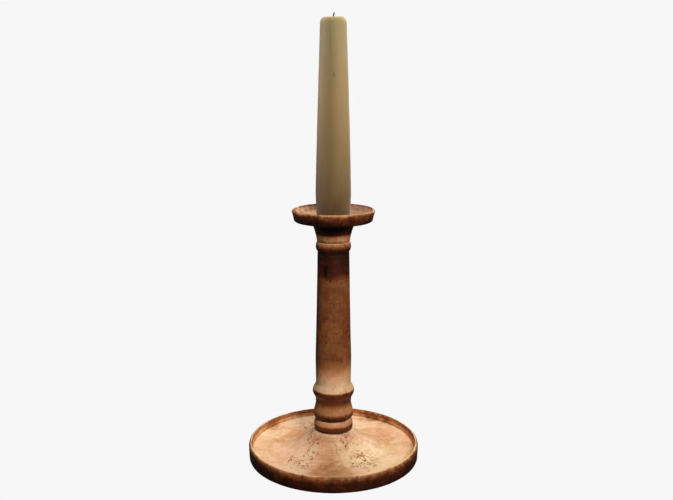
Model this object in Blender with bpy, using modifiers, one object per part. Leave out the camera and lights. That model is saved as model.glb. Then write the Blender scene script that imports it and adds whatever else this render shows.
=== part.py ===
"""Turned wooden candlestick with a tapered candle, as separate solids.

A dished base, a foot collar and a stem share one long tenon, drawn tight by a wood screw
from below. The drip pan sits on the stem's upper tenon and is held by the pricket, whose
threaded shank runs down into the stem and whose spike carries the candle. Metres, +Z up,
origin in the middle of the underside of the felt pad.
"""

import math

import bpy

MM = 0.001

# Driving sizes
BASE_RADIUS = 64.7 * MM
RIM_TOP_Z = 12.4 * MM
SEAT_Z = 21.9 * MM  # top of the base's dome, where the foot collar sits
STEM_FOOT_Z = 31.3 * MM
STEM_HEAD_Z = 167.5 * MM
PAN_RADIUS = 30.3 * MM
PAN_TOP_Z = 191.2 * MM
CANDLE_TOP_Z = 326.1 * MM
CANDLE_FOOT_RADIUS = 12.8 * MM
CANDLE_TOP_RADIUS = 9.45 * MM
GAP = 0.3 * MM  # clearance between faces that touch on the real object

# Base
BASE_FOOT_Z = 0.3 * MM
BASE_FLOOR_Z = 6.5 * MM
RIM_PEAK_RADIUS = 62.7 * MM
RIM_INNER_RADIUS = 62.2 * MM
RIM_ROUND_HEIGHT = 2.6 * MM
DOME_FOOT_RADIUS = 41.0 * MM
SEAT_RADIUS = 14.9 * MM
MORTISE_FLOOR_Z = 10.0 * MM
COUNTERBORE_Z = 6.5 * MM
COUNTERBORE_RADIUS = 8.5 * MM
FELT_THICKNESS = 1.8 * MM
FELT_RADIUS = 56.0 * MM

# Foot collar and stem
COLLAR_RADIUS = 14.65 * MM
COLLAR_ROUND = 2.3 * MM  # how far its upper half rounds in
TENON_RADIUS = 9.0 * MM
HEAD_TENON_RADIUS = 6.5 * MM
HEAD_TENON_LENGTH = 12.6 * MM
BULB_RADIUS = 14.9 * MM
COVE_RADIUS = 13.3 * MM
COVE_Z = 44.2 * MM
LOWER_BEAD_RADIUS = 15.75 * MM
LOWER_BEAD_Z = 52.8 * MM
LOWER_BEAD_HALF = 5.7 * MM
SHAFT_FOOT_RADIUS = 13.15 * MM
SHAFT_WIDEST_RADIUS = 13.4 * MM
SHAFT_WIDEST_Z = 79.0 * MM
SHAFT_TOP_RADIUS = 11.7 * MM
SHAFT_TOP_Z = 160.5 * MM
UPPER_BEAD_RADIUS = 13.0 * MM

# Drip pan
PAN_FLOOR_Z = 186.6 * MM
PAN_UNDER_Z = 182.6 * MM
PAN_UNDER_RADIUS = 28.8 * MM
PAN_PEAK_RADIUS = 28.4 * MM
PAN_INNER_RADIUS = 27.2 * MM
NECK_FOOT_RADIUS = 12.06 * MM
NECK_TOP_RADIUS = 16.2 * MM

# Pricket
FLANGE_RADIUS = 8.0 * MM
FLANGE_THICKNESS = 1.2 * MM
SPIKE_RADIUS = 2.4 * MM
SPIKE_LENGTH = 31.0 * MM
PRICKET_SHANK_RADIUS = 1.9 * MM
PRICKET_SHANK_LENGTH = 24.0 * MM

# Candle and wick
CANDLE_WIDEST_Z = 205.0 * MM
CANDLE_HEEL_RADIUS = 12.3 * MM
CANDLE_SHOULDER = 4.6 * MM  # height of the rounded top edge
WICK_RADIUS = 0.65 * MM
WICK_TIP_Z = 329.4 * MM
WICK_LEAN = 1.0 * MM

# Base screw and washer
SCREW_SHANK_RADIUS = 1.8 * MM
SCREW_LENGTH = 30.0 * MM
SCREW_HEAD_RADIUS = 4.0 * MM
SCREW_HEAD_HEIGHT = 2.3 * MM
SLOT_WIDTH = 1.0 * MM
SLOT_DEPTH = 1.0 * MM
WASHER_RADIUS = 7.5 * MM
WASHER_THICKNESS = 1.0 * MM

# Threads, on both the screw and the pricket
THREAD_DEPTH = 0.55 * MM
THREAD_PITCH = 2.4 * MM
RINGS_PER_PITCH = 5

WOOD = ("wood", (0.62, 0.36, 0.19), 0.55, 0.0)
WAX = ("wax", (0.42, 0.33, 0.19), 0.45, 0.0)
CHARRED_COTTON = ("wick", (0.03, 0.03, 0.03), 0.9, 0.0)
IRON = ("iron", (0.18, 0.17, 0.16), 0.5, 1.0)
STEEL = ("steel", (0.55, 0.55, 0.56), 0.35, 1.0)
FELT = ("felt", (0.10, 0.16, 0.09), 0.95, 0.0)


def clear_scene():
    for obj in list(bpy.data.objects):
        bpy.data.objects.remove(obj, do_unlink=True)


def new_collection(name):
    collection = bpy.data.collections.new(name)
    bpy.context.scene.collection.children.link(collection)
    return collection


def material(spec):
    """The Principled material of a (name, colour, roughness, metallic) spec, made once."""
    name, colour, roughness, metallic = spec
    found = bpy.data.materials.get(name)
    if found:
        return found
    made = bpy.data.materials.new(name)
    made.use_nodes = True
    shader = made.node_tree.nodes["Principled BSDF"]
    shader.inputs["Base Color"].default_value = (*colour, 1.0)
    shader.inputs["Roughness"].default_value = roughness
    shader.inputs["Metallic"].default_value = metallic
    return made


def add_object(name, mesh, spec, collection):
    obj = bpy.data.objects.new(name, mesh)
    collection.objects.link(obj)
    mesh.materials.clear()
    mesh.materials.append(material(spec))
    return obj


def evaluated_mesh(obj, name):
    """A plain mesh of the object with its modifiers applied; the object is then removed."""
    bpy.context.view_layer.update()
    graph = bpy.context.evaluated_depsgraph_get()
    mesh = bpy.data.meshes.new_from_object(obj.evaluated_get(graph))
    mesh.transform(obj.matrix_world)
    mesh.name = name
    bpy.data.objects.remove(obj, do_unlink=True)
    return mesh


def smooth(mesh):
    mesh.shade_smooth()
    mesh.set_sharp_from_angle(angle=math.radians(35))


def turned(name, profile, steps, spec, collection, closed=False):
    """A lathe-turned solid from (radius, z) points that run down its outer side."""
    mesh = bpy.data.meshes.new(name)
    edges = [(i, i + 1) for i in range(len(profile) - 1)]
    if closed:
        edges.append((len(profile) - 1, 0))
    mesh.from_pydata([(r, 0.0, z) for r, z in profile], edges, [])
    blank = bpy.data.objects.new(name + "_profile", mesh)
    collection.objects.link(blank)
    screw = blank.modifiers.new("Lathe", "SCREW")
    screw.axis = "Z"
    screw.angle = math.tau
    screw.steps = steps
    screw.render_steps = steps
    screw.use_merge_vertices = True
    screw.merge_threshold = 0.00001
    solid = evaluated_mesh(blank, name)
    bpy.data.meshes.remove(mesh)
    smooth(solid)
    return add_object(name, solid, spec, collection)


def arc(centre, radii, start, end, count):
    """Points on an ellipse's arc about (r, z), from start to end degrees, both included."""
    points = []
    for i in range(count + 1):
        a = math.radians(start + (end - start) * i / count)
        points.append((centre[0] + radii[0] * math.cos(a), centre[1] + radii[1] * math.sin(a)))
    return points


def swept(z_from, z_to, radius_at, count):
    """Points along a curved flank, with radius_at giving the radius at a share from 0 to 1."""
    shares = [i / count for i in range(count + 1)]
    return [(radius_at(t), z_from + (z_to - z_from) * t) for t in shares]


def mix(a, b, t):
    return a + (b - a) * t


def ease(t):
    return t * t * (3 - 2 * t)


def cut(obj, cutter):
    """Subtracts the cutter, which stays in its own collection as a hidden helper."""
    cutter.hide_render = True
    cutter.display_type = "WIRE"
    boolean = obj.modifiers.new("Cut", "BOOLEAN")
    boolean.operation = "DIFFERENCE"
    boolean.solver = "EXACT"
    boolean.object = cutter


def add_thread(mesh, shank_radius, z_low, z_high):
    """Raises a right-hand helical ridge on a turned shank, fading out at both ends."""
    for vertex in mesh.vertices:
        x, y, z = vertex.co
        radius = math.hypot(x, y)
        from_end = min(z - z_low, z_high - z)
        if from_end < 0 or abs(radius - shank_radius) > 0.01 * MM:
            continue
        turn = (math.atan2(y, x) / math.tau - z / THREAD_PITCH) % 1.0
        crest = max(0.0, 1.0 - abs(turn - 0.5) * 4.0)
        fade = min(1.0, from_end / THREAD_PITCH)
        grow = 1.0 + THREAD_DEPTH * crest * fade / radius
        vertex.co = (x * grow, y * grow, z)


def shank_rings(radius, z_from, z_to):
    """Evenly spaced rings along a shank, close enough together to carry the thread."""
    count = math.ceil(abs(z_to - z_from) / THREAD_PITCH * RINGS_PER_PITCH)
    return [(radius, mix(z_from, z_to, i / count)) for i in range(count + 1)]


def base_profile():
    """Dished disc with a rounded rim, a domed middle, a mortise above and a felt recess below."""
    round_z = RIM_TOP_Z - RIM_ROUND_HEIGHT
    rim_round = BASE_RADIUS - RIM_PEAK_RADIUS
    wall_foot_radius = BASE_RADIUS - 0.3 * MM
    chamfer = 0.4 * MM
    corner = 1.0 * MM
    felt_recess_z = FELT_THICKNESS + GAP
    screw_hole_radius = SCREW_SHANK_RADIUS + THREAD_DEPTH + GAP
    dome_rise = SEAT_Z - BASE_FLOOR_Z

    def dome(t):
        return mix(SEAT_RADIUS, DOME_FOOT_RADIUS, 1 - math.sqrt(1 - t))

    profile = [(TENON_RADIUS + GAP, SEAT_Z)]
    profile += [(r, SEAT_Z - dome_rise * t) for r, t in ((dome(s), s) for s in spread(9))]
    profile += arc((RIM_INNER_RADIUS - corner, BASE_FLOOR_Z + corner), (corner, corner), -90, 0, 3)
    profile += arc((RIM_PEAK_RADIUS, round_z), (rim_round, RIM_ROUND_HEIGHT), 90, 0, 5)
    profile += [(wall_foot_radius, BASE_FOOT_Z + chamfer), (wall_foot_radius - chamfer, BASE_FOOT_Z)]
    profile += [(FELT_RADIUS + GAP, BASE_FOOT_Z), (FELT_RADIUS + GAP, felt_recess_z)]
    profile += [(COUNTERBORE_RADIUS, felt_recess_z), (COUNTERBORE_RADIUS, COUNTERBORE_Z)]
    profile += [(screw_hole_radius, COUNTERBORE_Z), (screw_hole_radius, MORTISE_FLOOR_Z)]
    profile += [(TENON_RADIUS + GAP, MORTISE_FLOOR_Z)]
    return profile


def spread(count):
    """Shares from 0 to 1 that crowd together where a dome's curve is steepest."""
    return [1 - (1 - i / count) ** 2 for i in range(count + 1)]


def collar_profile():
    """Barrel-shaped ring around the stem's tenon."""
    foot, head = SEAT_Z + GAP, STEM_FOOT_Z - GAP
    bore = TENON_RADIUS + GAP
    flank = COLLAR_RADIUS - COLLAR_ROUND
    fall = (head - foot) / 2
    heel = 1.2 * MM
    profile = [(bore, head)]
    profile += arc((flank, head - fall), (COLLAR_ROUND, fall), 90, 0, 6)
    profile += arc((COLLAR_RADIUS - heel, foot + heel), (heel, heel), 0, -90, 3)
    profile += [(bore, foot)]
    return profile


def bead(z_middle, half, radius, radius_at_rest, count, fullness):
    """A raised bead with hollowed flanks; fullness under 1 makes it rounder."""
    points = []
    for i in range(1, count):
        offset = -1 + 2 * i / count
        swell = (0.5 * (1 + math.cos(math.pi * offset))) ** fullness
        points.append((radius_at_rest + (radius - radius_at_rest) * swell, z_middle - half * offset))
    return points


def stem_profile():
    """Spindle from its upper tenon down over beads, swelling shaft, cove and bulb to the foot tenon."""
    head_pilot = PRICKET_SHANK_RADIUS + THREAD_DEPTH + GAP
    foot_pilot = SCREW_SHANK_RADIUS + THREAD_DEPTH + GAP
    head_end_z = STEM_HEAD_Z + HEAD_TENON_LENGTH
    foot_end_z = MORTISE_FLOOR_Z + GAP
    shaft_foot_z = LOWER_BEAD_Z + LOWER_BEAD_HALF
    bead_half = (STEM_HEAD_Z - SHAFT_TOP_Z) / 2
    bead_middle = (STEM_HEAD_Z + SHAFT_TOP_Z) / 2
    bulb_z = 35.4 * MM
    bulb_lip = 1.9 * MM
    relief = 0.8 * MM

    profile = [(0.0, head_end_z - PRICKET_SHANK_LENGTH), (head_pilot, head_end_z - PRICKET_SHANK_LENGTH)]
    profile += [(head_pilot, head_end_z), (HEAD_TENON_RADIUS - relief, head_end_z)]
    profile += [(HEAD_TENON_RADIUS, head_end_z - relief), (HEAD_TENON_RADIUS, STEM_HEAD_Z)]
    bead_base = SHAFT_TOP_RADIUS - 0.1 * MM
    profile += arc(
        (bead_base, bead_middle), (UPPER_BEAD_RADIUS - bead_base, bead_half), 90, -90, 8
    )
    profile += swept(
        SHAFT_TOP_Z - 0.4 * MM,
        SHAFT_WIDEST_Z,
        lambda t: mix(SHAFT_TOP_RADIUS, SHAFT_WIDEST_RADIUS, t**1.25),
        6,
    )
    profile.append((SHAFT_FOOT_RADIUS, shaft_foot_z))
    profile += bead(LOWER_BEAD_Z, LOWER_BEAD_HALF, LOWER_BEAD_RADIUS, COVE_RADIUS, 12, 0.58)
    profile += swept(COVE_Z, bulb_z, lambda t: mix(COVE_RADIUS, BULB_RADIUS, ease(t)), 5)
    profile += arc(
        (BULB_RADIUS - bulb_lip, bulb_z - 1.2 * MM),
        (bulb_lip, bulb_z - 1.2 * MM - STEM_FOOT_Z),
        0,
        -90,
        4,
    )
    profile += [(TENON_RADIUS, STEM_FOOT_Z), (TENON_RADIUS, foot_end_z + relief)]
    profile += [(TENON_RADIUS - relief, foot_end_z), (foot_pilot, foot_end_z)]
    profile += [(foot_pilot, foot_end_z + SCREW_LENGTH), (0.0, foot_end_z + SCREW_LENGTH)]
    return profile


def pan_profile():
    """Shallow dish on a flared neck, mortised below and counterbored for the pricket's flange."""
    tip_z = PAN_TOP_Z - 1.5 * MM
    edge = 0.7 * MM
    fillet = 1.4 * MM
    neck_foot_z = STEM_HEAD_Z + GAP
    mortise_top_z = STEM_HEAD_Z + HEAD_TENON_LENGTH + GAP
    flange_recess_z = PAN_FLOOR_Z - FLANGE_THICKNESS - GAP
    shank_hole = PRICKET_SHANK_RADIUS + THREAD_DEPTH + GAP
    mortise_radius = HEAD_TENON_RADIUS + GAP

    profile = [(FLANGE_RADIUS + GAP, PAN_FLOOR_Z)]
    profile += arc((PAN_INNER_RADIUS - fillet, PAN_FLOOR_Z + fillet), (fillet, fillet), -90, 0, 3)
    profile += arc(
        (PAN_PEAK_RADIUS, tip_z), (PAN_RADIUS - PAN_PEAK_RADIUS, PAN_TOP_Z - tip_z), 90, 0, 4
    )
    profile += [(PAN_RADIUS - 0.9 * MM, tip_z - 3.2 * MM)]
    profile += [(PAN_UNDER_RADIUS, PAN_UNDER_Z + edge), (PAN_UNDER_RADIUS - edge, PAN_UNDER_Z)]
    profile += swept(
        PAN_UNDER_Z,
        neck_foot_z,
        lambda t: mix(NECK_FOOT_RADIUS, NECK_TOP_RADIUS, (1 - t) ** 1.35),
        7,
    )
    profile += [(mortise_radius, neck_foot_z), (mortise_radius, mortise_top_z)]
    profile += [(shank_hole, mortise_top_z), (shank_hole, flange_recess_z)]
    profile += [(FLANGE_RADIUS + GAP, flange_recess_z)]
    return profile


def make_pricket(collection):
    """Iron spike with a flange let into the pan's floor and a threaded shank below it."""
    flange_top = PAN_FLOOR_Z - GAP / 2
    flange_foot = flange_top - FLANGE_THICKNESS
    thread_end = flange_foot - PRICKET_SHANK_LENGTH + 4 * MM
    tip_z = thread_end - 1.8 * MM
    fillet = 1.2 * MM
    profile = [(0.0, flange_top + SPIKE_LENGTH), (0.35 * MM, flange_top + SPIKE_LENGTH - 0.6 * MM)]
    profile += [(SPIKE_RADIUS, flange_top + fillet), (SPIKE_RADIUS + fillet, flange_top)]
    profile += [(FLANGE_RADIUS - 0.3 * MM, flange_top), (FLANGE_RADIUS, flange_top - 0.3 * MM)]
    profile += [(FLANGE_RADIUS, flange_foot)]
    profile += shank_rings(PRICKET_SHANK_RADIUS, flange_foot, thread_end)
    profile.append((0.0, tip_z))
    pricket = turned("pricket", profile, 16, IRON, collection)
    add_thread(pricket.data, PRICKET_SHANK_RADIUS, thread_end, flange_foot - 6 * MM)


def make_base_screw(collection, cutters):
    """Slotted round-head wood screw, driven up through the washer into the stem."""
    head_top = COUNTERBORE_Z - GAP - WASHER_THICKNESS - GAP
    head_foot = head_top - SCREW_HEAD_HEIGHT
    thread_end = head_top + SCREW_LENGTH
    edge = 0.8 * MM
    profile = [(0.0, thread_end + 1.8 * MM)]
    profile += shank_rings(SCREW_SHANK_RADIUS, thread_end, head_top)
    profile += [(SCREW_HEAD_RADIUS, head_top), (SCREW_HEAD_RADIUS, head_foot + 1.3 * MM)]
    profile += [(SCREW_HEAD_RADIUS - edge, head_foot + 0.3 * MM), (SCREW_HEAD_RADIUS / 2, head_foot)]
    profile += [(0.0, head_foot)]
    screw = turned("base_screw", profile, 16, STEEL, collection)
    add_thread(screw.data, SCREW_SHANK_RADIUS, head_top + 8 * MM, thread_end)

    bpy.ops.mesh.primitive_cube_add(size=1, location=(0, 0, head_foot))
    slot = bpy.context.active_object
    slot.name = "slot_cutter"
    slot.scale = (SCREW_HEAD_RADIUS * 3, SLOT_WIDTH, SLOT_DEPTH * 2)
    move_to(slot, cutters)
    cut(screw, slot)


def move_to(obj, collection):
    for owner in list(obj.users_collection):
        owner.objects.unlink(obj)
    collection.objects.link(obj)


def make_washer(collection):
    top = COUNTERBORE_Z - GAP
    foot = top - WASHER_THICKNESS
    bore = SCREW_SHANK_RADIUS + GAP
    profile = [(bore, top), (WASHER_RADIUS, top), (WASHER_RADIUS, foot), (bore, foot)]
    turned("washer", profile, 24, STEEL, collection, closed=True)


def make_felt_pad(collection):
    bpy.ops.mesh.primitive_cylinder_add(
        vertices=48, radius=FELT_RADIUS, depth=FELT_THICKNESS, location=(0, 0, FELT_THICKNESS / 2)
    )
    felt = bpy.context.active_object
    felt.name = "felt_pad"
    felt.data.materials.append(material(FELT))
    move_to(felt, collection)


def make_candle(collection):
    """Tapered candle with a spike hole from below that opens into the wick's channel."""
    foot = PAN_FLOOR_Z + GAP
    channel = WICK_RADIUS + GAP
    hole_radius = SPIKE_RADIUS + 1.2 * MM + GAP
    hole_top = PAN_FLOOR_Z + SPIKE_LENGTH + 3 * MM
    shoulder_z = CANDLE_TOP_Z - CANDLE_SHOULDER
    shoulder_depth = 2.8 * MM
    profile = [(channel, CANDLE_TOP_Z)]
    profile += arc(
        (CANDLE_TOP_RADIUS - shoulder_depth, shoulder_z), (shoulder_depth, CANDLE_SHOULDER), 90, 0, 6
    )
    profile += [(mix(CANDLE_TOP_RADIUS, CANDLE_FOOT_RADIUS, 0.5), mix(shoulder_z, CANDLE_WIDEST_Z, 0.5))]
    profile += [(CANDLE_FOOT_RADIUS, CANDLE_WIDEST_Z), (CANDLE_HEEL_RADIUS, foot + 0.6 * MM)]
    profile += [(CANDLE_HEEL_RADIUS - 0.6 * MM, foot), (hole_radius, foot)]
    profile += [(SPIKE_RADIUS + GAP, foot + 2.6 * MM), (channel, hole_top)]
    return turned("candle", profile, 32, WAX, collection, closed=True)


def make_wick(collection):
    """Braided wick from above the spike hole to a short stub that leans at its tip."""
    line = bpy.data.curves.new("wick", "CURVE")
    line.dimensions = "3D"
    line.bevel_depth = WICK_RADIUS
    line.bevel_resolution = 2
    line.use_fill_caps = True
    spline = line.splines.new("POLY")
    start = PAN_FLOOR_Z + SPIKE_LENGTH + 5 * MM
    points = [(0.0, start), (0.0, mix(start, CANDLE_TOP_Z, 0.5)), (0.0, CANDLE_TOP_Z)]
    stub = WICK_TIP_Z - CANDLE_TOP_Z
    points += [(WICK_LEAN * t * t, CANDLE_TOP_Z + stub * t) for t in (0.35, 0.7, 1.0)]
    spline.points.add(len(points) - 1)
    for point, (x, z) in zip(spline.points, points):
        point.co = (x, 0.0, z, 1.0)
    obj = bpy.data.objects.new("wick", line)
    line.materials.append(material(CHARRED_COTTON))
    collection.objects.link(obj)


def main():
    clear_scene()
    parts = new_collection("candlestick")
    cutters = new_collection("cutters")
    turned("base", base_profile(), 48, WOOD, parts, closed=True)
    turned("foot_collar", collar_profile(), 36, WOOD, parts, closed=True)
    turned("stem", stem_profile(), 36, WOOD, parts)
    turned("drip_pan", pan_profile(), 44, WOOD, parts, closed=True)
    make_pricket(parts)
    make_base_screw(parts, cutters)
    make_washer(parts)
    make_felt_pad(parts)
    make_candle(parts)
    make_wick(parts)


main()
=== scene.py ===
"""The looks of the wooden candlestick: worn stained wood, beeswax, iron and felt."""

import math
import random

import bmesh
import bpy
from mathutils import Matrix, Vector, noise


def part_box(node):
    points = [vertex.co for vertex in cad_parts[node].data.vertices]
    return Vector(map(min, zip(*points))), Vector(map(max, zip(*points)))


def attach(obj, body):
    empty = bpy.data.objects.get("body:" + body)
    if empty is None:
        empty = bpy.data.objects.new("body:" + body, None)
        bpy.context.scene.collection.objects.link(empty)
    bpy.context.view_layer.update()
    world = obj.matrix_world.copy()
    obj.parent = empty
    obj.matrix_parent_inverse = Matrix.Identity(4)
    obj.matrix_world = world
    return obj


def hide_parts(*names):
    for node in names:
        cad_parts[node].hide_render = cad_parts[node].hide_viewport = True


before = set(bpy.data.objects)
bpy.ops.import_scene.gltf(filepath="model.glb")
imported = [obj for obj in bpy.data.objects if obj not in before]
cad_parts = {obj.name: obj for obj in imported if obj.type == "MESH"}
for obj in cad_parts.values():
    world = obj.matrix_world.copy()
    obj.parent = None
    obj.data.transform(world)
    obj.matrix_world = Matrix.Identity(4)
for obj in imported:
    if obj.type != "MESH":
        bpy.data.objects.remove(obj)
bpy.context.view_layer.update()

MM = 0.001

# Stage and camera
CAMERA_DISTANCE = 613.3 * MM
CAMERA_HEIGHT = 288.1 * MM
CAMERA_TILT = 11.73  # degrees below the horizon
CAMERA_LENS = 45.67  # millimetres, as the sensor's width is
SENSOR_WIDTH = 36
CAMERA_SHIFT = 0.0046  # in widths of the frame
PALE = (0.93, 0.93, 0.93)

# Turned surfaces
SMOOTHING = 0.3 * MM  # how far the tool and use have softened each arris
CRISP = 0.2 * MM  # the same, on the pieces with thin rims and on the candle
DENSE_STEP = 0.2 * MM  # between the points of an outline while it is being softened
CORNER_TURN = math.radians(32)  # an outline that turns by more than this has a corner
BEND_REACH = 4  # dense points on each side over which a bend is measured
RING_TURN = math.radians(12)  # the most that the outline turns between two rings
DISH_HEIGHT = 7.5 * MM  # of most of the base's dish, above the base's foot
SHAFT_RADIUS = 13.4 * MM
PAN_WALL_RADIUS = 29.5 * MM


# ---------------------------------------------------------------- outlines


def cut_outline(node):
    """The CAD node's outline in the X-Z half plane: (radius, height) in order, and if it is closed."""
    work = bmesh.new()
    work.from_mesh(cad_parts[node].data)
    bmesh.ops.remove_doubles(work, verts=work.verts, dist=1e-6)
    everything = work.verts[:] + work.edges[:] + work.faces[:]
    section = bmesh.ops.bisect_plane(
        work, geom=everything, dist=1e-7, plane_co=(0, 0, 0), plane_no=(0, 1, 0)
    )
    near = {}
    for item in section["geom_cut"]:
        if isinstance(item, bmesh.types.BMEdge) and all(v.co.x > -1e-7 for v in item.verts):
            a, b = item.verts
            near.setdefault(a, []).append(b)
            near.setdefault(b, []).append(a)
    ends = [v for v, others in near.items() if len(others) == 1]
    first = max(ends or near, key=lambda v: (v.co.z, -v.co.x))
    chain = [first]
    while True:
        onward = [v for v in near[chain[-1]] if v not in chain[-2:]]
        if not chain[1:]:
            onward.sort(key=lambda v: -v.co.z - v.co.x)
        if not onward or onward[0] is first:
            break
        chain.append(onward[0])
    points = [(v.co.x, v.co.z) for v in chain]
    work.free()
    return points, not ends


def runs_between_corners(points, closed):
    """Splits an outline at its corners, so that each run can be drawn as one smooth curve."""
    count = len(points)

    def turn(i):
        (x0, z0), (x1, z1), (x2, z2) = points[i - 1], points[i], points[(i + 1) % count]
        a = Vector((x1 - x0, z1 - z0))
        b = Vector((x2 - x1, z2 - z1))
        return abs(a.angle_signed(b, 0.0))

    inner = range(count) if closed else range(1, count - 1)
    corners = [i for i in inner if turn(i) > CORNER_TURN]
    if not closed:
        corners = [0, *corners, count - 1]
        pairs = zip(corners[:-1], corners[1:])
        return [points[a : b + 1] for a, b in pairs]
    looped = points + points
    pairs = zip(corners, corners[1:] + [corners[0] + count])
    return [looped[a : b + 1] for a, b in pairs]


def curved(run, step):
    """Points at about the given step along a Catmull-Rom curve through the run."""
    if len(run) == 2:
        padded = [run[0], *run, run[1]]
    else:
        first = (2 * run[0][0] - run[1][0], 2 * run[0][1] - run[1][1])
        last = (2 * run[-1][0] - run[-2][0], 2 * run[-1][1] - run[-2][1])
        padded = [first, *run, last]
    out = []
    for i in range(1, len(padded) - 2):
        p0, p1, p2, p3 = (Vector(p) for p in padded[i - 1 : i + 3])
        span = (p2 - p1).length
        count = max(1, round(span / step))
        # Tangents are scaled to the span, which keeps uneven spans from overshooting.
        m1 = (p2 - p0) / max((p2 - p0).length, 1e-9) * span
        m2 = (p3 - p1) / max((p3 - p1).length, 1e-9) * span
        for k in range(count):
            t = k / count
            t2, t3 = t * t, t * t * t
            p = (2 * t3 - 3 * t2 + 1) * p1 + (t3 - 2 * t2 + t) * m1
            p += (-2 * t3 + 3 * t2) * p2 + (t3 - t2) * m2
            out.append((p.x, p.y))
    return out


def softened(points, closed, reach):
    """The dense outline with its corners worn round over about the given reach."""
    passes = max(1, round((reach / DENSE_STEP) ** 2 * 2))
    count = len(points)
    for _ in range(passes):
        before = points
        points = []
        for i, (r, z) in enumerate(before):
            if not closed and i in (0, count - 1):
                points.append((r, z))
                continue
            (r0, z0), (r2, z2) = before[i - 1], before[(i + 1) % count]
            points.append(((r0 + 2 * r + r2) / 4, (z0 + 2 * z + z2) / 4))
    return points


def bend_at(points, closed):
    """For each point, how the outline turns there: over 0 on an arris, under 0 in a groove."""
    count = len(points)
    out = []
    for i in range(count):
        if not closed and not BEND_REACH <= i < count - BEND_REACH:
            out.append(0.0)
            continue
        before, here, after = (Vector(points[(i + k) % count]) for k in (-BEND_REACH, 0, BEND_REACH))
        a, b = here - before, after - here
        out.append(a.angle_signed(b, 0.0) if a.length and b.length else 0.0)
    return out


def thinned(points, bends, widest):
    """Indices of the points to keep: close together in bends, and no further apart than widest."""
    keep = [0]
    travelled = turned_by = 0.0
    for i in range(1, len(points)):
        travelled += (Vector(points[i]) - Vector(points[i - 1])).length
        turned_by += abs(bends[i]) / BEND_REACH
        if travelled > widest or turned_by > RING_TURN or i == len(points) - 1:
            keep.append(i)
            travelled = turned_by = 0.0
    return keep


def fine_outline(node, widest, reach=SMOOTHING):
    """(radius, height, bend) rings for the fine surface of a turned node, and if it is closed."""
    rough, closed = cut_outline(node)
    dense = []
    for run in runs_between_corners(rough, closed):
        dense += curved(run, DENSE_STEP)
    if not closed:
        dense.append(rough[-1])
    dense = softened(dense, closed, reach)
    bends = bend_at(dense, closed)
    keep = thinned(dense, bends, widest)
    return [(*dense[i], bends[i]) for i in keep], closed


# ---------------------------------------------------------------- turned meshes


def wobble(point, scale, seed):
    """Smooth noise from -1 to 1 with features of about the given size."""
    return noise.noise(point / scale + Vector((seed, seed * 1.7, seed * 0.3)))


def turned_piece(name, node, segments, widest, shape, reach=SMOOTHING):
    """A fine lathe surface on the CAD node's own outline, with wear moved into its points.

    segments: its points round the axis; widest: the most between two of its rings.
    shape: how far a point moves out, from the point and the outline's bend there.
    """
    rings, closed = fine_outline(node, widest, reach)
    work = bmesh.new()
    bend_layer = work.verts.layers.float.new("bend")
    grid = []
    for r, z, bend in rings:
        if r < 1e-6:
            vertex = work.verts.new((0, 0, z))
            grid.append([vertex])
            continue
        ring = []
        for k in range(segments):
            a = math.tau * k / segments
            vertex = work.verts.new((r * math.cos(a), r * math.sin(a), z))
            vertex[bend_layer] = bend
            ring.append(vertex)
        grid.append(ring)
    pairs = list(zip(grid[:-1], grid[1:]))
    if closed:
        pairs.append((grid[-1], grid[0]))
    for upper, lower in pairs:
        for k in range(segments):
            a, b = upper[k % len(upper)], upper[(k + 1) % len(upper)]
            c, d = lower[(k + 1) % len(lower)], lower[k % len(lower)]
            corners = list(dict.fromkeys((d, c, b, a)))
            if len(corners) > 2:
                work.faces.new(corners)
    bmesh.ops.recalc_face_normals(work, faces=work.faces)
    work.normal_update()
    moves = [(v, v.normal * shape(v.co, v[bend_layer])) for v in work.verts]
    for vertex, move in moves:
        vertex.co += move
    mesh = bpy.data.meshes.new(name)
    work.to_mesh(mesh)
    work.free()
    mesh.shade_smooth()
    obj = bpy.data.objects.new(name, mesh)
    bpy.context.scene.collection.objects.link(obj)
    return obj


def dents(count, seed, spot):
    """Seeded dents as (centre, radius, depth); spot gives a place on the piece from two shares."""
    draw = random.Random(seed)
    out = []
    for _ in range(count):
        centre = spot(draw.random(), draw.random())
        out.append((centre, draw.uniform(0.8, 2.6) * MM, draw.uniform(0.08, 0.3) * MM))
    return out


def dent_depth(point, marks):
    """How deep the deepest dent is at the point."""
    depth = 0.0
    for centre, radius, deepest in marks:
        gap = (point - centre).length / radius
        if gap < 1:
            depth = max(depth, deepest * (1 - gap * gap) ** 2)
    return depth


def worn_shape(marks, unevenness, nick_depth, seed):
    """How far each point of a worn wooden surface moves out along its normal."""

    def shape(point, bend):
        out = unevenness * wobble(point, 24 * MM, seed)
        out += unevenness * 0.4 * wobble(point, 7 * MM, seed + 3)
        out -= dent_depth(point, marks)
        if bend > 0.12:
            nick = max(0.0, wobble(point, 3.2 * MM, seed + 7) - 0.22)
            out -= nick_depth * nick * min(1.0, bend * 2.2)
        return out

    return shape


def dish_spot(low, high):
    """A place on the base's dish, between two radii."""
    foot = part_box("base")[0].z

    def spot(share, turn):
        r = math.sqrt(low * low + (high * high - low * low) * share)
        a = math.tau * turn
        return Vector((r * math.cos(a), r * math.sin(a), foot + DISH_HEIGHT))

    return spot


def column_spot(radius, low, high):
    """A place on an upright round surface, between two heights."""

    def spot(share, turn):
        a = math.tau * turn
        return Vector((radius * math.cos(a), radius * math.sin(a), low + (high - low) * share))

    return spot


def placed(obj, material, body, node):
    """Gives a new piece its material, puts it under its body and hides the CAD node that it stands in for.
    """
    obj.data.materials.append(material)
    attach(obj, body)
    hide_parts(node)


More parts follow.
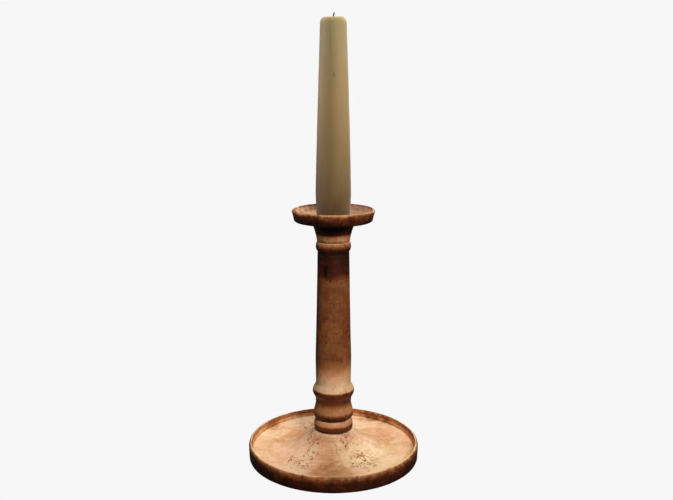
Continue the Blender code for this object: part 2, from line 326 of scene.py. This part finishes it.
def make_base(material):
    marks = dents(count=46, seed=11, spot=dish_spot(30 * MM, 59 * MM))
    shape = worn_shape(marks, unevenness=0.12 * MM, nick_depth=0.16 * MM, seed=1.0)
    base = turned_piece("worn_base", "base", segments=288, widest=1.5 * MM, shape=shape, reach=CRISP)
    placed(base, material, "candlestick", "base")


def make_collar(material):
    shape = worn_shape([], unevenness=0.06 * MM, nick_depth=0.1 * MM, seed=2.0)
    collar = turned_piece("worn_foot_collar", "foot_collar", segments=128, widest=1.0 * MM, shape=shape)
    placed(collar, material, "candlestick", "foot_collar")


def make_stem(material):
    low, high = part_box("stem")
    shaft = column_spot(SHAFT_RADIUS, low.z + 50 * MM, high.z - 24 * MM)
    marks = dents(count=26, seed=5, spot=shaft)
    shape = worn_shape(marks, unevenness=0.08 * MM, nick_depth=0.12 * MM, seed=3.0)
    stem = turned_piece("worn_stem", "stem", segments=128, widest=1.2 * MM, shape=shape)
    placed(stem, material, "candlestick", "stem")


def make_pan(material):
    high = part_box("drip_pan")[1]
    wall = column_spot(PAN_WALL_RADIUS, high.z - 8 * MM, high.z)
    marks = dents(count=18, seed=8, spot=wall)
    shape = worn_shape(marks, unevenness=0.08 * MM, nick_depth=0.15 * MM, seed=4.0)
    pan = turned_piece("worn_drip_pan", "drip_pan", segments=200, widest=1.2 * MM, shape=shape, reach=CRISP)
    placed(pan, material, "candlestick", "drip_pan")


def make_candle(material):
    def shape(point, bend):
        """Slow unevenness, and ripples that run up and down the wax."""
        out = 0.1 * MM * wobble(point, 40 * MM, 6.0)
        out += 0.05 * MM * wobble(Vector((point.x, point.y, point.z * 0.4)), 6 * MM, 6.5)
        return out

    candle = turned_piece("wax_candle", "candle", segments=96, widest=2.0 * MM, shape=shape, reach=CRISP)
    placed(candle, material, "candle_body", "candle")


def make_wick(material):
    """Three strands twisted round each other, which splay a little at the charred tip."""
    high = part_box("wick")[1]
    wax_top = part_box("candle")[1].z
    strands = 3
    strand_radius = 0.3 * MM
    twist_radius = 0.27 * MM
    pitch = 3.4 * MM
    stagger = 0.35 * MM  # how much sooner each strand ends than the one before
    lean = high.x - 0.65 * MM  # less the radius of the CAD's wick
    start = wax_top - 12 * MM
    tip = high.z - stagger
    count = 34
    line = bpy.data.curves.new("braided_wick", "CURVE")
    line.dimensions = "3D"
    line.bevel_depth = strand_radius
    line.bevel_resolution = 2
    line.use_fill_caps = True
    for strand in range(strands):
        spline = line.splines.new("POLY")
        spline.points.add(count - 1)
        for i, point in enumerate(spline.points):
            z = start + (tip - strand * stagger - start) * i / (count - 1)
            rise = max(0.0, (z - wax_top) / (tip - wax_top))
            a = math.tau * ((z - start) / pitch + strand / strands)
            splay = twist_radius * (1 + 0.25 * rise)
            x = lean * rise * rise + splay * math.cos(a)
            point.co = (x, splay * math.sin(a), z, 1.0)
            point.radius = 1.0 - 0.25 * rise
    wick = bpy.data.objects.new("braided_wick", line)
    bpy.context.scene.collection.objects.link(wick)
    placed(wick, material, "candle_body", "wick")


# ---------------------------------------------------------------- materials


class Graph:
    """Short calls that add nodes to one material. Lengths are in millimetres, except in bump."""

    def __init__(self, name):
        self.material = bpy.data.materials.new(name)
        self.material.use_nodes = True
        self.tree = self.material.node_tree
        self.shader = self.tree.nodes["Principled BSDF"]
        coordinates = self.tree.nodes.new("ShaderNodeTexCoord")
        self.place = self.scaled(coordinates.outputs["Object"], (1000, 1000, 1000))

    def add(self, kind, inputs=(), **settings):
        """A new node; each input, by its name or number, is a value or a socket to link."""
        node = self.tree.nodes.new(kind)
        for key, value in settings.items():
            setattr(node, key, value)
        for key, value in dict(inputs).items():
            if isinstance(value, bpy.types.NodeSocket):
                self.tree.links.new(value, node.inputs[key])
            else:
                node.inputs[key].default_value = value
        return node

    def scaled(self, vector, factors):
        node = self.add("ShaderNodeVectorMath", {0: vector, 1: factors}, operation="MULTIPLY")
        return node.outputs[0]

    def math(self, operation, a, b=0.0):
        return self.add("ShaderNodeMath", {0: a, 1: b}, operation=operation).outputs[0]

    def plus(self, a, b):
        return self.math("ADD", a, b)

    def times(self, a, b):
        return self.math("MULTIPLY", a, b)

    def noise(self, size, detail=3.0, roughness=0.55, distortion=0.0, vector=None, colour=False):
        inputs = {"Vector": vector or self.place, "Scale": 1 / size, "Detail": detail}
        inputs |= {"Roughness": roughness, "Distortion": distortion}
        return self.add("ShaderNodeTexNoise", inputs).outputs["Color" if colour else "Fac"]

    def cells(self, size):
        """The distance to the nearest of points scattered about the given size apart."""
        inputs = {"Vector": self.place, "Scale": 1 / size}
        return self.add("ShaderNodeTexVoronoi", inputs).outputs["Distance"]

    def bent(self, amount, size, vector=None):
        """The place pushed about by noise of the given size, by the given distance."""
        shift = self.noise(size, 2.0, vector=vector, colour=True)
        centred = self.add("ShaderNodeVectorMath", {0: shift, 1: (0.5, 0.5, 0.5)}, operation="SUBTRACT")
        pushed = self.scaled(centred.outputs[0], (amount, amount, amount))
        node = self.add("ShaderNodeVectorMath", {0: vector or self.place, 1: pushed}, operation="ADD")
        return node.outputs[0]

    def between(self, value, low, high, to_low=0.0, to_high=1.0):
        """A smooth step from to_low, where the value is low, to to_high; low may be above high."""
        inputs = {"Value": value, "From Min": low, "From Max": high}
        inputs |= {"To Min": to_low, "To Max": to_high}
        node = self.add("ShaderNodeMapRange", inputs, interpolation_type="SMOOTHSTEP")
        return node.outputs[0]

    def mixed(self, share, a, b, blend="MIX"):
        a, b = (self.colour(c) for c in (a, b))
        node = self.add("ShaderNodeMix", {0: share, 6: a, 7: b}, data_type="RGBA", blend_type=blend)
        return node.outputs[2]

    @staticmethod
    def colour(value):
        return value if isinstance(value, bpy.types.NodeSocket) else (*value, 1.0)

    def attribute(self, name):
        return self.add("ShaderNodeAttribute", attribute_name=name).outputs["Fac"]

    def height(self):
        return self.add("ShaderNodeSeparateXYZ", {0: self.place}).outputs["Z"]

    def radius(self):
        flat = self.scaled(self.place, (1, 1, 0))
        return self.add("ShaderNodeVectorMath", {0: flat}, operation="LENGTH").outputs["Value"]

    def shifted(self, tone, share, change):
        """The tone, changed by the given amount where the share is 1."""
        return self.plus(tone, self.times(share, change))

    def band(self, value, middle, half):
        """1 where the value is close to the middle, falling to 0 at half the band's width from it."""
        gap = self.math("ABSOLUTE", self.math("SUBTRACT", value, middle))
        return self.between(gap, half, half * 0.3)

    def blend(self, share, a, b):
        """What mixed does for colours, for numbers."""
        node = self.add("ShaderNodeMix", {0: share, 2: a, 3: b}, data_type="FLOAT")
        return node.outputs[0]

    def hollow(self, radius, foot):
        """1 inside the given radius and above the given height, 0 elsewhere."""
        inside = self.between(self.radius(), radius, radius - 0.5)
        return self.times(inside, self.between(self.height(), foot - 1, foot))

    def facing_up(self):
        """From 0 on a surface that faces sideways to 1 on one that faces straight up."""
        coordinates = self.add("ShaderNodeTexCoord")
        return self.add("ShaderNodeSeparateXYZ", {0: coordinates.outputs["Normal"]}).outputs["Z"]

    def ramp(self, share, stops):
        """The colour at the share along stops of (position, colour)."""
        node = self.add("ShaderNodeValToRGB", {0: share})
        elements = node.color_ramp.elements
        while len(elements) < len(stops):
            elements.new(0.5)
        for element, (position, colour) in zip(elements, stops):
            element.position = position
            element.color = (*colour, 1.0)
        return node.outputs["Color"]

    def tone_by_height(self, stops, height):
        """The tone at the height, between stops of (height, tone)."""
        low, high = stops[0][0], stops[-1][0]
        share = self.add("ShaderNodeMapRange", {"Value": height, "From Min": low, "From Max": high})
        greys = [((z - low) / (high - low), (tone, tone, tone)) for z, tone in stops]
        return self.ramp(share.outputs[0], greys)

    def spots(self, places, ragged, core):
        """From 1 in the core share of each place, (x, y, radius) in millimetres, to 0 at its radius."""
        flat = self.scaled(self.place, (1, 1, 0))
        uneven = self.between(self.noise(6, 3, 0.6), 0.3, 0.7, -ragged, ragged)
        out = 0.0
        for x, y, radius in places:
            gap = self.add("ShaderNodeVectorMath", {0: flat, 1: (x, y, 0)}, operation="DISTANCE")
            distance = self.plus(gap.outputs["Value"], uneven)
            out = self.math("MAXIMUM", self.between(distance, radius, radius * core), out)
        return out

    def spoke(self, girth, by_height, by_radius):
        """A place that runs round a circle of the given radius, and slowly with height or radius."""
        flat = self.scaled(self.place, (1, 1, 0))
        unit = self.add("ShaderNodeVectorMath", {0: flat}, operation="NORMALIZE").outputs[0]
        slow = self.plus(self.times(self.height(), by_height), self.times(self.radius(), by_radius))
        rise = self.add("ShaderNodeCombineXYZ", {2: slow}).outputs[0]
        around = self.scaled(unit, (girth, girth, 0))
        return self.add("ShaderNodeVectorMath", {0: around, 1: rise}, operation="ADD").outputs[0]

    def bump(self, value, distance, strength=1.0, under=None):
        """The normal raised by the value times the distance, in metres, on top of another normal."""
        inputs = {"Height": value, "Distance": distance, "Strength": strength}
        if under:
            inputs["Normal"] = under
        return self.add("ShaderNodeBump", inputs).outputs["Normal"]

    def finish(self, colour, roughness, normal, **constants):
        """Links the three sockets, sets the constants on the shader and gives the material."""
        self.tree.links.new(colour, self.shader.inputs["Base Color"])
        self.tree.links.new(roughness, self.shader.inputs["Roughness"])
        self.tree.links.new(normal, self.shader.inputs["Normal"])
        for key, value in constants.items():
            self.shader.inputs[key.replace("_", " ")].default_value = value
        return self.material


def curled_scratches(g, clusters):
    """Short curled scratches, most of them in the clusters: (their dark lines, the pale lips beside them,
    painted as highlights).
    """
    share = g.between(g.noise(10, 2, 0.6), 0.62, 0.7, 0.0, 0.5)
    if clusters:
        share = g.math("MAXIMUM", share, g.spots(clusters, 4.0, 0.4))
    share = g.times(share, g.between(g.noise(4.5, 2), 0.42, 0.48))
    curl = g.noise(5.2, 1.5, 0.5, 1.8)
    return g.times(g.band(curl, 0.5, 0.055), share), g.times(g.band(curl, 0.6, 0.06), share)


def fanned_scratches(g, upward):
    """Scratches that fan out from the middle of a floor."""
    spokes = g.between(g.noise(1.3, 2, 0.6, 0.4, g.spoke(20, 0.0, 0.16)), 0.6, 0.7)
    near = g.times(g.between(g.radius(), 34, 17), g.between(g.noise(9, 2), 0.42, 0.56))
    return g.times(g.times(spokes, near), upward)


def worn_edges(g, tone):
    """The tone with arrises rubbed pale or chipped to dark stain in places, and painted shade in grooves.
    """
    bend = g.attribute("bend")
    uneven = g.noise(3.2, 4, 0.7, 0.5)
    chipped = g.times(g.between(bend, 0.1, 0.4), g.between(uneven, 0.56, 0.66))
    tone = g.shifted(tone, chipped, -0.2)
    rubbed = g.times(g.between(bend, 0.12, 0.5), g.between(uneven, 0.52, 0.42))
    tone = g.shifted(tone, rubbed, 0.06)
    # Painted shade: the grooves are darkened.
    groove_shade = g.between(bend, -0.35, -0.9)
    return g.shifted(tone, groove_shade, -0.4)


def worn_wood(
    name,
    side_tones_and_shade,
    top,
    girth=14.0,
    along=(1, 1, 0.25),
    ragged=0.5,
    mottle=1.0,
    wander=None,
    bowl=None,
    rim=None,
    film=None,
    scratches=(),
    stains_and_shadows=(),
    chips=0.0,
    lathe_tone=0.06,
):
    """Stained wood worn back to lighter tones, with painted light and shade in the same tones; tone 0 is
    the darkest, for dirt and painted shade, and 1 the palest bare wood.

    side_tones_and_shade: (height, tone) for the surfaces that face outwards, stain and painted shade
    together; top: the tone of those that face up, painted paler as light from above.
    girth: the radius that streaks are scaled to; along: the grain's stretch of the place.
    ragged, mottle: how uneven the limits between tones are, and the tones themselves.
    wander: (low, high, amount), heights between which those limits wander further.
    bowl: (radius, height, tone) for the side of a hollow, inside that radius and above that height.
    rim: (radius, change) of tone outside that radius on the surfaces that face up.
    film: (radius, height, share) of dulled wax inside that radius and above that height.
    scratches: (x, y, radius) of their clusters.
    stains_and_shadows: (x, y, radius, change) of tone on the surfaces that face up or line the bowl:
    stains, painted shadows and painted light.
    chips, lathe_tone: how much darker chips in the stain and the lathe's lines are.
    All lengths are in millimetres.
    """
    g = Graph(name)
    clouds = g.noise(15, 4, 0.55, 0.5)
    blotches = g.noise(5, 4, 0.7, 0.8, g.bent(3, 9))
    fibre_place = g.scaled(g.bent(1.2, 14), along)
    fibre = g.noise(0.9, 4, 0.6, 0.3, fibre_place)
    figure = g.noise(5.0, 3, 0.5, 0.8, fibre_place)
    streaks = g.noise(1.7, 3, 0.6, 0.2, g.spoke(girth, 0.18, 0.0))
    turned_place = g.add("ShaderNodeCombineXYZ", {0: g.radius(), 2: g.height()}).outputs[0]
    lathe = g.noise(1.1, 3, 0.6, vector=g.bent(0.25, 7, turned_place))
    upward = g.between(g.facing_up(), 0.45, 0.8)

    # The stain as it was laid and has worn back, with painted shade in the side tones.
    height = g.plus(g.height(), g.between(blotches, 0.3, 0.7, -ragged, ragged))
    if wander:
        low, high, amount = wander
        share = g.times(g.between(height, low, low + 8), g.between(height, high, high - 8))
        height = g.plus(height, g.times(share, g.between(clouds, 0.3, 0.7, -amount, amount)))
    tone = g.tone_by_height(side_tones_and_shade, height)
    lining = 0.0
    if bowl:
        radius, foot, bowl_tone = bowl
        lining = g.hollow(radius, foot)
        tone = g.blend(lining, tone, bowl_tone)
    tone = g.plus(tone, g.between(streaks, 0.4, 0.66, 0.02 * mottle, -0.035 * mottle))
    if rim:
        radius, change = rim
        top = g.between(g.radius(), radius, radius + 1, top, top + change)
    # Painted light: the surfaces that face up take the paler top tone, as if lit from above.
    tone = g.blend(upward, tone, top)
    tone = g.plus(tone, g.between(clouds, 0.3, 0.7, -0.07 * mottle, 0.06 * mottle))
    tone = g.plus(tone, g.between(blotches, 0.35, 0.65, -0.04 * mottle, 0.04 * mottle))
    tone = g.plus(tone, g.between(figure, 0.45, 0.75, 0.01, -0.025 * mottle))
    tone = g.plus(tone, g.between(fibre, 0.45, 0.75, 0.005, -0.02 * mottle))
    # Stains, painted shadows and painted light on the floor and the bowl.
    stain_and_shadow_faces = g.math("MAXIMUM", upward, lining)
    for x, y, radius, change in stains_and_shadows:
        spot = g.times(g.spots([(x, y, radius)], radius * 0.2, 0.1), stain_and_shadow_faces)
        tone = g.shifted(tone, spot, change)
    tone = g.plus(tone, g.between(lathe, 0.45, 0.7, 0.02, -lathe_tone))

    # Marks of use.
    scratch, lip_highlight = curled_scratches(g, scratches)
    # Painted highlights: the pale lips beside the scratches.
    tone = g.shifted(tone, lip_highlight, 0.25)
    tone = g.shifted(tone, scratch, -0.46)
    fan = fanned_scratches(g, upward)
    tone = g.shifted(tone, fan, -0.26)
    pit = g.times(g.between(g.cells(4.2), 0.15, 0.05), g.between(g.noise(8, 2), 0.5, 0.62))
    tone = g.shifted(tone, pit, -0.2)
    if chips:
        # They are ragged, and longer up and down than round the piece.
        chip = g.between(g.noise(4.2, 4, 0.7, 0.6, g.scaled(g.place, (1, 1, 0.6))), 0.6, 0.65)
        tone = g.shifted(tone, chip, -chips)
    tone = worn_edges(g, tone)

    # Colour.
    colour = g.ramp(tone, WOOD_TONES)
    tint = g.mixed(g.between(g.noise(26, 2), 0.38, 0.62), (1.03, 0.97, 0.96), (0.98, 1.03, 0.93))
    colour = g.mixed(1.0, colour, tint, "MULTIPLY")
    if film:
        radius, foot, share = film
        thickness = g.between(g.noise(6, 3), 0.3, 0.6, share * 0.6, share)
        colour = g.mixed(g.times(g.hollow(radius, foot), thickness), colour, DULLED_WAX)
    scuff = g.times(g.between(streaks, 0.56, 0.68), g.between(g.noise(7, 2), 0.5, 0.62))
    scuff = g.times(scuff, g.math("SUBTRACT", 1.0, upward))
    colour = g.mixed(g.times(scuff, 0.3), colour, SCUFF_RED)

    # Gloss and relief.
    roughness = g.shifted(g.between(clouds, 0.3, 0.7, 0.52, 0.4), scratch, 0.25)
    normal = g.bump(lathe, 0.00012, 0.5)
    normal = g.bump(fibre, 0.0001, 0.6, normal)
    normal = g.bump(g.noise(2.6, 4, 0.62), 0.0004, 0.5, normal)
    cuts = g.plus(g.plus(g.times(scratch, 0.4), pit), fan)
    normal = g.bump(cuts, 0.0003, -0.5, normal)
    return g.finish(colour, roughness, normal, Specular_IOR_Level=0.2)


def beeswax():
    """Wax that is darkest at its foot, with soft clouds, faint streaks, small marks and a dull skin."""
    g = Graph("beeswax")
    clouds = g.noise(22, 4, 0.55, 0.3, g.scaled(g.place, (1, 1, 0.35)))
    streaks = g.noise(3.5, 4, 0.6, 0.4, g.scaled(g.place, (1, 1, 0.12)))
    flecks = g.noise(1.6, 3, 0.6)
    foot, top = (corner.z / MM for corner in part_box("candle"))
    share = g.math("DIVIDE", g.math("SUBTRACT", g.height(), foot), top - foot)
    share = g.plus(share, g.between(clouds, 0.3, 0.7, -0.06, 0.05))
    share = g.plus(share, g.between(streaks, 0.3, 0.7, -0.02, 0.02))
    colour = g.ramp(share, WAX_TONES)
    colour = g.mixed(g.between(clouds, 0.35, 0.65, 0.0, 0.5), colour, (0.82, 0.83, 0.86), "MULTIPLY")
    colour = g.mixed(g.between(streaks, 0.45, 0.7, 0.0, 0.5), colour, (0.84, 0.82, 0.8), "MULTIPLY")
    colour = g.mixed(g.between(flecks, 0.55, 0.75, 0.0, 0.4), colour, (0.85, 0.8, 0.75), "MULTIPLY")
    mark = g.between(g.noise(2.4, 3, 0.6, 0.4, g.scaled(g.place, (1, 1, 0.3))), 0.66, 0.72)
    colour = g.mixed(g.times(mark, 0.35), colour, (0.2, 0.1, 0.04))
    offset = g.add("ShaderNodeVectorMath", {0: g.place, 1: WAX_MARK}, operation="SUBTRACT").outputs[0]
    gap = g.add("ShaderNodeVectorMath", {0: g.scaled(offset, (1, 1, 0.3))}, operation="LENGTH")
    colour = g.mixed(g.between(gap.outputs["Value"], 1.0, 0.3, 0.0, 0.6), colour, (0.13, 0.06, 0.025))
    roughness = g.between(clouds, 0.3, 0.7, 0.55, 0.68)
    ripple = g.noise(7, 3, 0.5, 0.2, g.scaled(g.place, (1, 1, 0.5)))
    normal = g.bump(ripple, 0.0004, 0.35)
    normal = g.bump(streaks, 0.0002, 0.3, normal)
    normal = g.bump(flecks, 0.0001, 0.5, normal)
    g.shader.inputs["Subsurface Radius"].default_value = (0.006, 0.0045, 0.003)
    return g.finish(
        colour,
        roughness,
        normal,
        Subsurface_Weight=0.6,
        Subsurface_Scale=1.0,
        Specular_IOR_Level=0.1,
        Sheen_Weight=0.3,
        Sheen_Roughness=0.5,
    )


def charred_cotton():
    g = Graph("charred_cotton")
    colour = g.mixed(g.noise(0.5, 3), (0.006, 0.006, 0.006), (0.035, 0.03, 0.026))
    roughness = g.between(g.noise(0.9), 0.3, 0.7, 0.8, 0.95)
    return g.finish(colour, roughness, g.bump(g.noise(0.25, 2), 0.0001))


def forged_iron():
    g = Graph("forged_iron")
    scale = g.noise(2.2, 5, 0.7)
    colour = g.mixed(g.between(scale, 0.4, 0.65), (0.035, 0.032, 0.03), (0.16, 0.11, 0.08))
    roughness = g.between(scale, 0.35, 0.65, 0.38, 0.7)
    return g.finish(colour, roughness, g.bump(scale, 0.0002, 0.6), Metallic=0.85)


def plated_steel():
    g = Graph("plated_steel")
    brushed = g.noise(0.6, 3, vector=g.scaled(g.place, (1, 1, 0.2)))
    colour = g.mixed(g.between(g.noise(4, 4), 0.35, 0.7), (0.55, 0.55, 0.56), (0.42, 0.4, 0.37))
    roughness = g.between(brushed, 0.3, 0.7, 0.25, 0.45)
    return g.finish(colour, roughness, g.bump(brushed, 0.00004, 0.4), Metallic=1.0)


def wool_felt():
    g = Graph("wool_felt")
    fibres = g.noise(0.35, 5, 0.75, 1.5, g.bent(1.5, 1.6))
    patches = g.noise(9, 3)
    colour = g.mixed(g.between(fibres, 0.35, 0.65), (0.02, 0.045, 0.02), (0.07, 0.12, 0.06))
    colour = g.mixed(g.between(patches, 0.5, 0.75, 0.0, 0.4), colour, (0.1, 0.11, 0.07))
    roughness = g.between(fibres, 0.3, 0.7, 0.85, 1.0)
    return g.finish(colour, roughness, g.bump(fibres, 0.0004, 0.9), Sheen_Weight=0.5)


def dress(node, material):
    """Gives a CAD node that shows as it is its material."""
    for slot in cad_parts[node].material_slots:
        slot.material = material


# ---------------------------------------------------------------- stage


def plain(name, colour):
    """An even pale surface that only glows, so that it has no horizon and throws no colour back."""
    material = bpy.data.materials.new(name)
    material.use_nodes = True
    nodes = material.node_tree.nodes
    nodes.remove(nodes["Principled BSDF"])
    glow = nodes.new("ShaderNodeEmission")
    glow.inputs["Color"].default_value = (*colour, 1)
    material.node_tree.links.new(glow.outputs[0], nodes["Material Output"].inputs["Surface"])
    return material


def unlit_by(obj):
    """The stage is seen by the camera, and neither lights nor shades the object."""
    obj.visible_diffuse = False
    obj.visible_glossy = False
    obj.visible_transmission = False
    obj.visible_shadow = False


def make_stage():
    bpy.ops.mesh.primitive_circle_add(vertices=128, radius=6, fill_type="NGON")
    floor = bpy.context.active_object
    floor.name = "floor"
    floor.location.z = -0.1 * MM
    floor.data.materials.append(plain("pale_floor", PALE))
    bpy.ops.mesh.primitive_uv_sphere_add(segments=64, ring_count=32, radius=5.9)
    backdrop = bpy.context.active_object
    backdrop.name = "backdrop"
    backdrop.data.materials.append(plain("pale_backdrop", PALE))
    for obj in (floor, backdrop):
        unlit_by(obj)


def softbox(name, place, aim, size, power, spread=180):
    """A square light; place, aim and size are in metres, power in watts and spread in degrees."""
    light = bpy.data.lights.new(name, "AREA")
    light.shape = "RECTANGLE"
    light.size = light.size_y = size
    light.energy = power
    light.spread = math.radians(spread)
    obj = bpy.data.objects.new(name, light)
    obj.location = place
    obj.rotation_euler = (Vector(aim) - Vector(place)).to_track_quat("-Z", "Y").to_euler()
    bpy.context.scene.collection.objects.link(obj)


def make_lights():
    softbox("overhead", (0.0, 0.28, 1.15), (0, 0, 0.05), 0.4, 7.4)
    softbox("front", (0.5, -1.26, 0.95), (0, 0, 0.12), 0.5, 19.8)
    softbox("back", (0.7, 1.3, 0.7), (0, 0, 0.12), 0.6, 5.0)
    # Narrow beams onto the candle, which leave the wood's own edges dark.
    softbox("candle_right", (1.2, -0.15, 0.55), (0, 0, 0.29), 0.12, 0.04, spread=12)
    softbox("candle_left", (-1.2, 0.3, 0.55), (0, 0, 0.29), 0.12, 0.065, spread=12)
    world = bpy.data.worlds.new("studio")
    world.use_nodes = True
    background = world.node_tree.nodes["Background"]
    background.inputs["Color"].default_value = (1, 1, 1, 1)
    background.inputs["Strength"].default_value = 0.06
    bpy.context.scene.world = world


def make_camera():
    data = bpy.data.cameras.new("camera")
    data.lens = CAMERA_LENS
    data.sensor_width = SENSOR_WIDTH
    data.shift_x = CAMERA_SHIFT
    camera = bpy.data.objects.new("camera", data)
    camera.location = (0, -CAMERA_DISTANCE, CAMERA_HEIGHT)
    camera.rotation_euler = (math.radians(90 - CAMERA_TILT), 0, 0)
    bpy.context.scene.collection.objects.link(camera)
    bpy.context.scene.camera = camera


# ---------------------------------------------------------------- the whole

ALONG_X = (0.12, 1, 1)  # the grain of a piece that was cut flat from a plank
WOOD_TONES = [
    (0.0, (0.010, 0.0022, 0.001)),
    (0.14, (0.045, 0.008, 0.0025)),
    (0.28, (0.12, 0.024, 0.006)),
    (0.42, (0.21, 0.060, 0.018)),
    (0.56, (0.36, 0.135, 0.045)),
    (0.70, (0.54, 0.25, 0.105)),
    (0.84, (0.74, 0.385, 0.19)),
    (1.0, (0.95, 0.64, 0.41)),
]
DULLED_WAX = (0.6, 0.45, 0.32)
SCUFF_RED = (0.3, 0.05, 0.02)
WAX_TONES = [
    (0.0, (0.11, 0.064, 0.026)),
    (0.1, (0.19, 0.112, 0.043)),
    (0.35, (0.31, 0.2, 0.08)),
    (0.7, (0.38, 0.26, 0.115)),
    (1.0, (0.40, 0.30, 0.145)),
]
WAX_MARK = (0.4, -10.9, 287.0)  # a small brown streak on the front of the candle
# Where the scratches gather on the dish: (x, y, radius) in millimetres.
CLUSTERS = [(-22.9, -26.0, 15), (-13.4, -8.1, 10), (9.1, -14.3, 10), (22.5, -29.4, 15), (-20.8, 43.5, 13)]
# Darker and lighter places on the dish and in the pan: (x, y, radius, change of tone). Some are stains;
# others are painted light and shade: painted shadows of the pan and stem on the dish, painted shade on the
# back right of the bowl and on the pan's right inner wall, painted light on their left.
STAINS_AND_SHADOWS = [
    (0, -53, 30, -0.42),
    (0, -66, 46, 0.2),
    (-31, 17, 24, -0.12),
    (32, 15, 24, -0.13),
    (-3, -26, 24, -0.08),
    (-28, -38, 18, 0.05),
    (26, -38, 18, 0.02),
    (36, 62, 22, -0.5),
    (54, 50, 16, -0.4),
    (-28, 56, 22, 0.22),
    (-52, 40, 14, -0.25),
    (-50, 0, 26, -0.05),
    (50, 0, 26, -0.09),
]
PAN_STAINS_AND_SHADE = [(17, 14, 20, -0.4), (-17, 10, 18, 0.08)]
# Tones of the surfaces that face outwards, from foot to top: (height in millimetres, tone). Besides the
# stain they hold painted shade and light: darker under the beads, under the pan and down the base's outer
# wall, paler on the lower shaft and the flanks that face up.
BASE_TONES_AND_SHADE = [(0, 0.03), (3, 0.1), (6, 0.16), (8.6, 0.26), (10.6, 0.46), (12.4, 0.6), (15, 0.7), (21, 0.6)]
COLLAR_TONES_AND_SHADE = [(21, 0.12), (23.0, 0.18), (26.6, 0.34), (27.4, 0.66), (29.5, 0.78), (31.3, 0.7)]
STEM_TONES_AND_SHADE = [
    (30, 0.02),
    (33.4, 0.1),
    (35.2, 0.34),
    (37.2, 0.66),
    (41, 0.64),
    (44, 0.42),
    (46, 0.27),
    (50.2, 0.25),
    (50.7, 0.12),
    (51.2, 0.25),
    (53.5, 0.25),
    (54.6, 0.87),
    (60, 0.92),
    (67, 0.82),
    (74, 0.56),
    (80, 0.43),
    (120, 0.44),
    (139, 0.44),
    (143.5, 0.18),
    (160, 0.08),
    (162.4, 0.12),
    (163.6, 0.3),
    (165, 0.46),
    (166.2, 0.58),
    (167, 0.55),
    (167.5, 0.2),
]
PAN_TONES_AND_SHADE = [
    (167, 0.2),
    (168.3, 0.55),
    (170, 0.75),
    (172.6, 0.62),
    (174.5, 0.14),
    (183.4, 0.05),
    (185.4, 0.15),
    (190, 0.48),
    (191, 0.6),
]


def main():
    bpy.context.scene.view_settings.view_transform = "Standard"
    make_camera()
    make_lights()
    make_stage()
    base_wood = worn_wood(
        "base_wood",
        BASE_TONES_AND_SHADE,
        top=0.94,
        girth=60,
        along=ALONG_X,
        ragged=1.1,
        mottle=0.75,
        bowl=(62.68, 6.3, 0.8),
        rim=(63.0, -0.34),
        scratches=CLUSTERS,
        stains_and_shadows=STAINS_AND_SHADOWS,
    )
    pan_wood = worn_wood(
        "pan_wood",
        PAN_TONES_AND_SHADE,
        top=0.82,
        girth=29,
        along=ALONG_X,
        bowl=(28.2, 186, 0.8),
        film=(28.2, 186, 0.32),
        mottle=1.6,
        rim=(27.6, -0.18),
        scratches=[(-20, 10, 14)],
        stains_and_shadows=PAN_STAINS_AND_SHADE,
    )
    stem_wood = worn_wood(
        "stem_wood",
        STEM_TONES_AND_SHADE,
        top=0.84,
        ragged=0.25,
        mottle=0.7,
        wander=(62, 152, 2.5),
        chips=0.15,
        lathe_tone=0.03,
    )
    make_base(base_wood)
    make_collar(worn_wood("collar_wood", COLLAR_TONES_AND_SHADE, top=0.8, ragged=0.25, mottle=0.6))
    make_stem(stem_wood)
    make_pan(pan_wood)
    make_candle(beeswax())
    make_wick(charred_cotton())
    dress("pricket", forged_iron())
    dress("base_screw", plated_steel())
    dress("washer", plated_steel())
    dress("felt_pad", wool_felt())


main()
